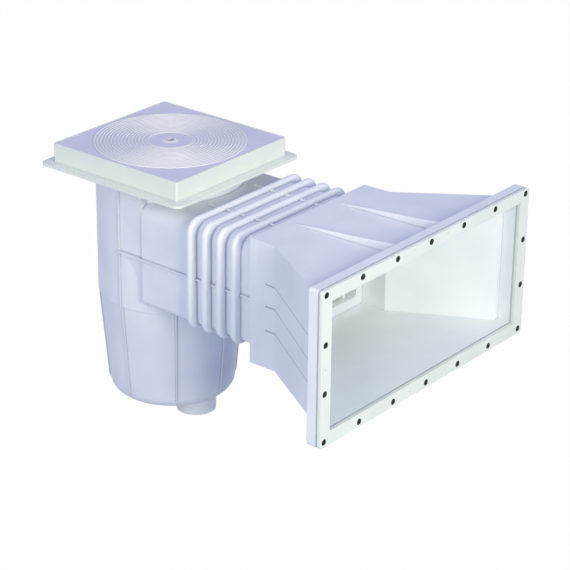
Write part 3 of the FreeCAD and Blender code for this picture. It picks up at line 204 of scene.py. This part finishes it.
def cellular(name, colour, shade, roughness, cell_mm, depth_mm):
    """Foam or foam rubber: closed cells that show as small round pits, and a dry, dull skin."""
    material, tree, place = start_material(name)
    cells = add(tree, "ShaderNodeTexVoronoi", {"Scale": 1 / (cell_mm * MM)}, {"Vector": place})
    tone = add(tree, "ShaderNodeValToRGB", links={"Fac": cells.outputs["Distance"]})
    tone.color_ramp.elements[0].position = 0.1
    tone.color_ramp.elements[0].color = linear(colour)
    tone.color_ramp.elements[1].position = 0.8
    tone.color_ramp.elements[1].color = linear(shade)
    pits = add(tree, "ShaderNodeBump", {"Strength": 0.6, "Distance": depth_mm * MM},
               {"Height": cells.outputs["Distance"]})
    shader = add(tree, "ShaderNodeBsdfPrincipled", {"Roughness": roughness, "IOR": 1.5},
                 {"Base Color": tone.outputs["Color"], "Normal": pits.outputs["Normal"]})
    finish_material(tree, shader)
    return material


ABS_IOR = 1.54
PP_IOR = 1.49
NITRILE_IOR = 1.52
# How deep the grain is that a polished tool leaves.
FINE_GRAIN_MM = 0.012

# ABS straight from the mould: opaque, slightly blue white, satin. The grain of 0.4 mm is drawn at 1.2 mm.
body_abs = moulded_plastic("satin_white_abs", "E6EAF2", "DDE2EC", roughness=0.42, ior=ABS_IOR, grain_mm=1.2,
                           edge_mm=0.9, crease_shade_colour="8792AC")
# The same ABS in the funnel, with painted shadow lines along its laps.
funnel_abs = moulded_plastic("lapped_white_abs", "E6EAF2", "DDE2EC", roughness=0.42, ior=ABS_IOR,
                             grain_mm=1.2, edge_mm=0.9, crease_shade_colour="8792AC", laps=True)
# The same ABS in the face pieces, from a better polished tool: smoother, with a crisper highlight.
face_abs = moulded_plastic("smooth_white_abs", "E6ECE4", "DEE5DD", roughness=0.32, ior=ABS_IOR, grain_mm=1.6,
                           edge_mm=0.6, grain_depth_mm=FINE_GRAIN_MM)
# The inside of the water way: smoother, off a polished core, and whiter than the outside as painted light for
# the inside.
inner_abs_painted_light = moulded_plastic("inner_white_abs_painted_light", "EFF5F6", "E8EFF1", roughness=0.3, ior=ABS_IOR, grain_mm=1.6,
                           edge_mm=0.5, grain_depth_mm=FINE_GRAIN_MM, crease_shade_colour="E2EAEE")
# The lid's ABS, bluer than the body's: the lavender shade that the top takes in the light, painted into its
# colour.
lid_abs_painted_shade = moulded_plastic("cool_white_abs", "DCDAE9", "D4D2E4", roughness=0.36, ior=ABS_IOR, grain_mm=1.4,
                          edge_mm=0.5, grain_depth_mm=FINE_GRAIN_MM)
# The lid's beads and its finger cone, paler than the lid: a painted highlight where their ridges catch the
# light.
bead_abs_painted_highlight = moulded_plastic("bead_white_abs_painted_highlight", "F1F1EC", "E6E6E4", roughness=0.42, ior=ABS_IOR, grain_mm=1.2,
                           edge_mm=0.3, grain_depth_mm=FINE_GRAIN_MM)
# Polypropylene: waxier and slightly milky, as baskets and their bails are moulded.
basket_pp = moulded_plastic("white_polypropylene", "E7E9E6", "DDE0DE", roughness=0.48, ior=PP_IOR,
                            grain_mm=1.0, edge_mm=0.5)
# Stainless steel, painted nearly black: the heads carry a painted dark reflection.
steel_painted_dark = turned_metal("stainless_painted_dark", "3C3D42", "222327", roughness=0.38, line_mm=0.4)
# The bottom of the drive slot, painted bright: a painted highlight.
slot_steel_painted_highlight = turned_metal("slot_stainless_painted_highlight", "F2F3F5", "D8DBE0", roughness=0.3, line_mm=0.3)
# Turned brass, dulled by handling.
insert_brass = turned_metal("turned_brass", "C8A24E", "94743A", roughness=0.34, line_mm=0.3)
# Polyethylene foam with cells of about 0.8 mm.
float_foam = cellular("polyethylene_foam", "E9E8E0", "CFCEC6", roughness=0.85, cell_mm=0.8, depth_mm=0.15)
# EPDM foam rubber, pale grey, with a skin so fine that its 0.3 mm cells are drawn at 0.6 mm.
gasket_rubber = cellular("pale_foam_rubber", "CDD2D6", "AEB4BA", roughness=0.8, cell_mm=0.6, depth_mm=0.05)
# Nitrile rubber: black, smooth, faintly oily.
ring_rubber = moulded_plastic("black_nitrile_rubber", "1C1D1F", "121315", roughness=0.5, ior=NITRILE_IOR,
                              grain_mm=0.8, edge_mm=0.2, wear_and_highlight_colour="2C2D2F", crease_shade_colour="121315")

FINISHES = {
    "skimmer_body": body_abs,
    "mouth_funnel": funnel_abs,
    "deck_frame": face_abs,
    "deck_lid": lid_abs_painted_shade,
    "face_frame": face_abs,
    "front_gasket": gasket_rubber,
    "rear_gasket": gasket_rubber,
    "face_screws": steel_painted_dark,
    "flange_inserts": insert_brass,
    "leaf_basket": basket_pp,
    "basket_handle": basket_pp,
    "weir_flap": face_abs,
    "weir_float": float_foam,
    "weir_float_cap": face_abs,
    "weir_pins": steel_painted_dark,
    "flow_trimmer": basket_pp,
    "trimmer_washer": steel_painted_dark,
    "trimmer_screw": steel_painted_dark,
    "port_plug": face_abs,
    "plug_o_ring": ring_rubber,
}
for name, material in FINISHES.items():
    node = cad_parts[name]
    node.data.materials.clear()
    node.data.materials.append(material)


# Faces with a finish of their own

# The depth of a screw's drive slot behind the mouth's plane.
SLOT_DEPTH = 1.1 * MM
# The lid's raised field, on the tank's axis, and the cone round its finger hole.
LID_TOP = 141 * MM
TANK_AXIS = Vector((0, 490 * MM, LID_TOP))
CONE_RADIUS = 13.6 * MM
# The water way from the mouth to the tank: half its height, its end, and how near its walls come to its axis.
WAY_HALF_HEIGHT = 99 * MM
WAY_END = 420 * MM
WAY_NEAREST_WALL = 30 * MM
CLOSE = 0.05 * MM


def second_finish(name, finish, chosen):
    """Gives the chosen faces of a CAD node a finish other than the node's own."""
    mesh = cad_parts[name].data
    mesh.materials.append(finish)
    for face in mesh.polygons:
        if chosen(face):
            face.material_index = 1


def is_slot_floor(face):
    return abs(face.center.y - SLOT_DEPTH) < CLOSE


def is_finger_cone(face):
    return (face.center.xy - TANK_AXIS.xy).length < CONE_RADIUS and face.center.z > LID_TOP + CLOSE


def is_inner_wall(face):
    """Near the water way, and looking in on its axis."""
    facing_in = -face.center.x * face.normal.x - face.center.z * face.normal.z > WAY_NEAREST_WALL
    return facing_in and abs(face.center.z) < WAY_HALF_HEIGHT and face.center.y < WAY_END


# The slot floors get a painted highlight, and the finger cone the same painted highlight as the beads.
# The water way gets the smoother ABS, whose paler colour is painted light.
second_finish("face_screws", slot_steel_painted_highlight, is_slot_floor)
second_finish("deck_lid", bead_abs_painted_highlight, is_finger_cone)
second_finish("skimmer_body", inner_abs_painted_light, is_inner_wall)
second_finish("mouth_funnel", inner_abs_painted_light, is_inner_wall)


# Lid rings

SMOOTH_ANGLE = 0.6
RING_WIDTH = 2.6 * MM
RING_HEIGHT = 0.7 * RING_WIDTH
OUTER_RING = 115.6 * MM
RING_SPACING = 5.2 * MM
RING_RADII = [OUTER_RING - RING_SPACING * step for step in range(15)] + [37 * MM, 34 * MM]


def select_only(piece):
    bpy.ops.object.select_all(action="DESELECT")
    piece.select_set(True)
    bpy.context.view_layer.objects.active = piece


def make_lid_rings():
    """Round beads on the lid's raised field: the grip of the lid, and two closer ones inside them."""
    bpy.ops.object.select_all(action="DESELECT")
    beads = []
    for radius in RING_RADII:
        bpy.ops.mesh.primitive_torus_add(major_radius=radius, minor_radius=RING_WIDTH / 2,
                                         major_segments=160, minor_segments=10)
        beads.append(bpy.context.object)
    select_only(beads[0])
    for bead in beads:
        bead.select_set(True)
    bpy.ops.object.join()
    rings = bpy.context.object
    rings.name = "lid_rings"
    bpy.ops.transform.resize(value=(1, 1, RING_HEIGHT / RING_WIDTH))
    bpy.ops.transform.translate(value=TANK_AXIS)
    bpy.ops.object.transform_apply()
    bpy.ops.object.shade_smooth_by_angle(angle=SMOOTH_ANGLE)
    rings.data.materials.append(bead_abs_painted_highlight)
    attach(rings, "deck_collar")


make_lid_rings()


# Floor, background and light

def paper(name, colour, seen):
    """Matt paper. The camera, gloss and clear materials see it as bright as the seen share of white."""
    material, tree, place = start_material(name)
    path = add(tree, "ShaderNodeLightPath")
    looks = add(tree, "ShaderNodeMath", {"operation": "MAXIMUM"},
                {0: path.outputs["Is Camera Ray"], 1: path.outputs["Is Glossy Ray"]})
    looks = add(tree, "ShaderNodeMath", {"operation": "MAXIMUM"},
                {0: looks.outputs["Value"], 1: path.outputs["Is Transmission Ray"]})
    share = add(tree, "ShaderNodeMath", {"operation": "MULTIPLY", 1: seen}, {0: looks.outputs["Value"]})
    fibres = add(tree, "ShaderNodeTexNoise", {"Scale": 1 / (4 * MM), "Detail": 4.0}, {"Vector": place})
    press = add(tree, "ShaderNodeBump", {"Strength": 0.1, "Distance": 0.1 * MM},
                {"Height": fibres.outputs["Fac"]})
    sheet = add(tree, "ShaderNodeBsdfDiffuse", {"Color": linear(colour)},
                {"Normal": press.outputs["Normal"]})
    white = add(tree, "ShaderNodeEmission", {"Color": (1, 1, 1, 1), "Strength": 1.0})
    mix = add(tree, "ShaderNodeMixShader", links={"Fac": share.outputs["Value"], 1: sheet.outputs["BSDF"],
                                                 2: white.outputs["Emission"]})
    add(tree, "ShaderNodeOutputMaterial", links={"Surface": mix.outputs["Shader"]})
    return material


FLOOR_SIZE = 14
FLOOR_GAP = 0.2 * MM
bpy.ops.object.select_all(action="DESELECT")
bpy.ops.mesh.primitive_plane_add(size=FLOOR_SIZE, location=(0, 0.3, cad_low.z - FLOOR_GAP))
floor = bpy.context.object
floor.name = "floor"
floor.data.materials.append(paper("white_paper", "AAB4CC", 0.985))

world = bpy.data.worlds.new("studio")
world.use_nodes = True
world.node_tree.nodes.clear()
path = add(world.node_tree, "ShaderNodeLightPath")
room = add(world.node_tree, "ShaderNodeBackground", {"Color": linear("A2AECC"), "Strength": 1.12})
white = add(world.node_tree, "ShaderNodeBackground", {"Color": (1, 1, 1, 1), "Strength": 1.0})
seen = add(world.node_tree, "ShaderNodeMath", {"operation": "MAXIMUM"},
           {0: path.outputs["Is Camera Ray"], 1: path.outputs["Is Transmission Ray"]})
both = add(world.node_tree, "ShaderNodeMixShader", links={"Fac": seen.outputs["Value"],
                                                        1: room.outputs["Background"],
                                                        2: white.outputs["Background"]})
add(world.node_tree, "ShaderNodeOutputWorld", links={"Surface": both.outputs["Shader"]})
scene.world = world


def lamp(name, colour, watts, side, place, target):
    """A square soft lamp at a place, turned towards a target."""
    light = bpy.data.lights.new(name, "AREA")
    light.color = linear(colour)[:3]
    light.energy = watts
    light.size = side
    item = bpy.data.objects.new(name, light)
    scene.collection.objects.link(item)
    item.location = place
    item.rotation_euler = (Vector(target) - Vector(place)).to_track_quat("-Z", "Y").to_euler()


MIDDLE = (0, 0.25, -0.05)
# The key comes from in front of the mouth, the fill from the side that the camera sees.
lamp("key", "FFF9DC", 57, 1.1, (-1.05, -2.33, 1.06), MIDDLE)
lamp("fill", "FFFADC", 27, 1.6, (-2.95, 0.05, 0.7), MIDDLE)
lamp("overhead", "FFD8D4", 5, 1.6, (0.2, 0.4, 2.2), (0, 0.3, 0))

# The camera, fitted to the collar, the flange and the tank in the photograph.
CAMERA_LENS = 136.136
CAMERA_PLACE = (-2.27607, -1.580501, 1.294019)
CAMERA_RIGHT = Vector((0.63292, -0.774147, 0.010398))
CAMERA_UP = Vector((0.313676, 0.268685, 0.910723))
CAMERA_AHEAD = Vector((0.707827, 0.573153, -0.412887))
camera = bpy.data.cameras.new("camera")
camera.sensor_width = 36
camera.lens = CAMERA_LENS
camera.clip_end = 40
viewer = bpy.data.objects.new("camera", camera)
scene.collection.objects.link(viewer)
turn = Matrix((CAMERA_RIGHT, CAMERA_UP, -CAMERA_AHEAD)).transposed().to_4x4()
viewer.matrix_world = Matrix.Translation(CAMERA_PLACE) @ turn
scene.camera = viewer
scene.view_settings.view_transform = "Standard"
